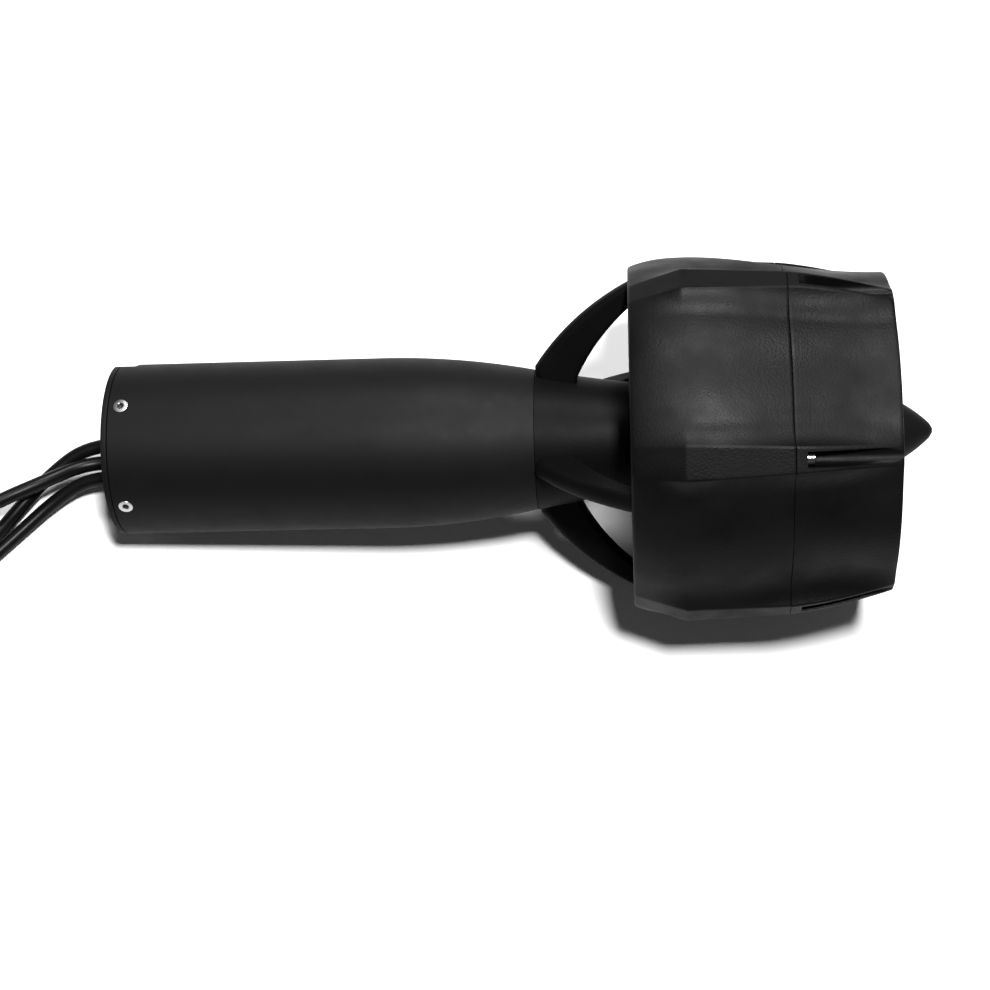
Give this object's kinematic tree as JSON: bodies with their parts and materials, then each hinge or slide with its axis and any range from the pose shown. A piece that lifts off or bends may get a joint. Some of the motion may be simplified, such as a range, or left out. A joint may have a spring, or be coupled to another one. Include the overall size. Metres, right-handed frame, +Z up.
{
  "type": "electric hydrofoil motor pod",
  "caption": "Sealed electric motor pod with a ducted three-blade propeller on a strutted hub, for driving a hydrofoil board, with its phase leads.",
  "frame": {"origin": "on the bench under the middle of the motor's box, the coiled leads left out", "axes": "+Z up from the bench on which the front edge and the duct rest, +X towards the propeller, along the shaft as seen from above"},
  "size_m": [0.5095, 0.163, 0.1386],
  "materials": {
    "anodised": "satin black hard anodised aluminium",
    "moulding": "black glass filled nylon with a fine grain",
    "stainless": "bright stainless steel",
    "silicone": "glossy black silicone",
    "seal_rubber": "matt nitrile rubber",
    "gland_resin": "cast black sealing resin",
    "electrical_steel": "varnished laminated steel",
    "copper": "enamelled copper wire",
    "magnet": "nickel plated",
    "band": "wound fibre band",
    "bearing_steel": "ground bearing steel",
    "zinc": "turned aluminium",
    "gold_plate": "gold plated",
    "tie": "black hook and loop tape"
  },
  "bodies": {
    "pod": {"motor_housing": "anodised", "front_cap": "anodised", "front_cap_seal": "seal_rubber", "front_cap_screws": "stainless", "cable_glands": "gland_resin", "lead_tails": "silicone", "stator_core": "electrical_steel", "stator_windings": "copper", "bearing_outer_rings": "bearing_steel", "wave_washer": "stainless", "shaft_seals": "seal_rubber", "duct_front": "moulding", "duct_rear": "moulding", "duct_screws": "stainless", "hub_screws": "stainless", "coil_tie": "tie", "wire_a": "silicone", "wire_coil_a": "silicone", "wire_sleeve_a": "seal_rubber", "wire_bullet_a": "gold_plate", "wire_b": "silicone", "wire_coil_b": "silicone", "wire_sleeve_b": "seal_rubber", "wire_bullet_b": "gold_plate", "wire_c": "silicone", "wire_coil_c": "silicone", "wire_sleeve_c": "seal_rubber", "wire_bullet_c": "gold_plate"},
    "rotor": {"bearing_inner_rings": "bearing_steel", "motor_shaft": "stainless", "shaft_circlips": "stainless", "rotor_core": "electrical_steel", "rotor_magnets": "magnet", "rotor_band": "band", "rotor_balance_rings": "zinc", "propeller": "moulding", "drive_pin": "stainless", "prop_washer": "stainless", "prop_nut": "stainless", "spinner": "anodised"},
    "front_balls": {"front_ball_set": "bearing_steel"},
    "rear_balls": {"rear_ball_set": "bearing_steel"}
  },
  "joints": [
    {"name": "shaft_spin", "type": "hinge", "parent": "pod", "child": "rotor", "pos_m": [0.07501, 0, 0.06942], "axis": [0.9864, 0, 0.1641], "continuous": true},
    {"name": "front_ball_spin", "type": "hinge", "parent": "pod", "child": "front_balls", "pos_m": [-0.13609, 0, 0.03429], "axis": [0.9864, 0, 0.1641], "continuous": true},
    {"name": "rear_ball_spin", "type": "hinge", "parent": "pod", "child": "rear_balls", "pos_m": [-0.02117, 0, 0.05341], "axis": [0.9864, 0, 0.1641], "continuous": true}
  ],
  "couplings": [
    {"joint": "front_ball_spin", "follows": "shaft_spin", "ratio": 0.3678},
    {"joint": "rear_ball_spin", "follows": "shaft_spin", "ratio": 0.3678}
  ]
}
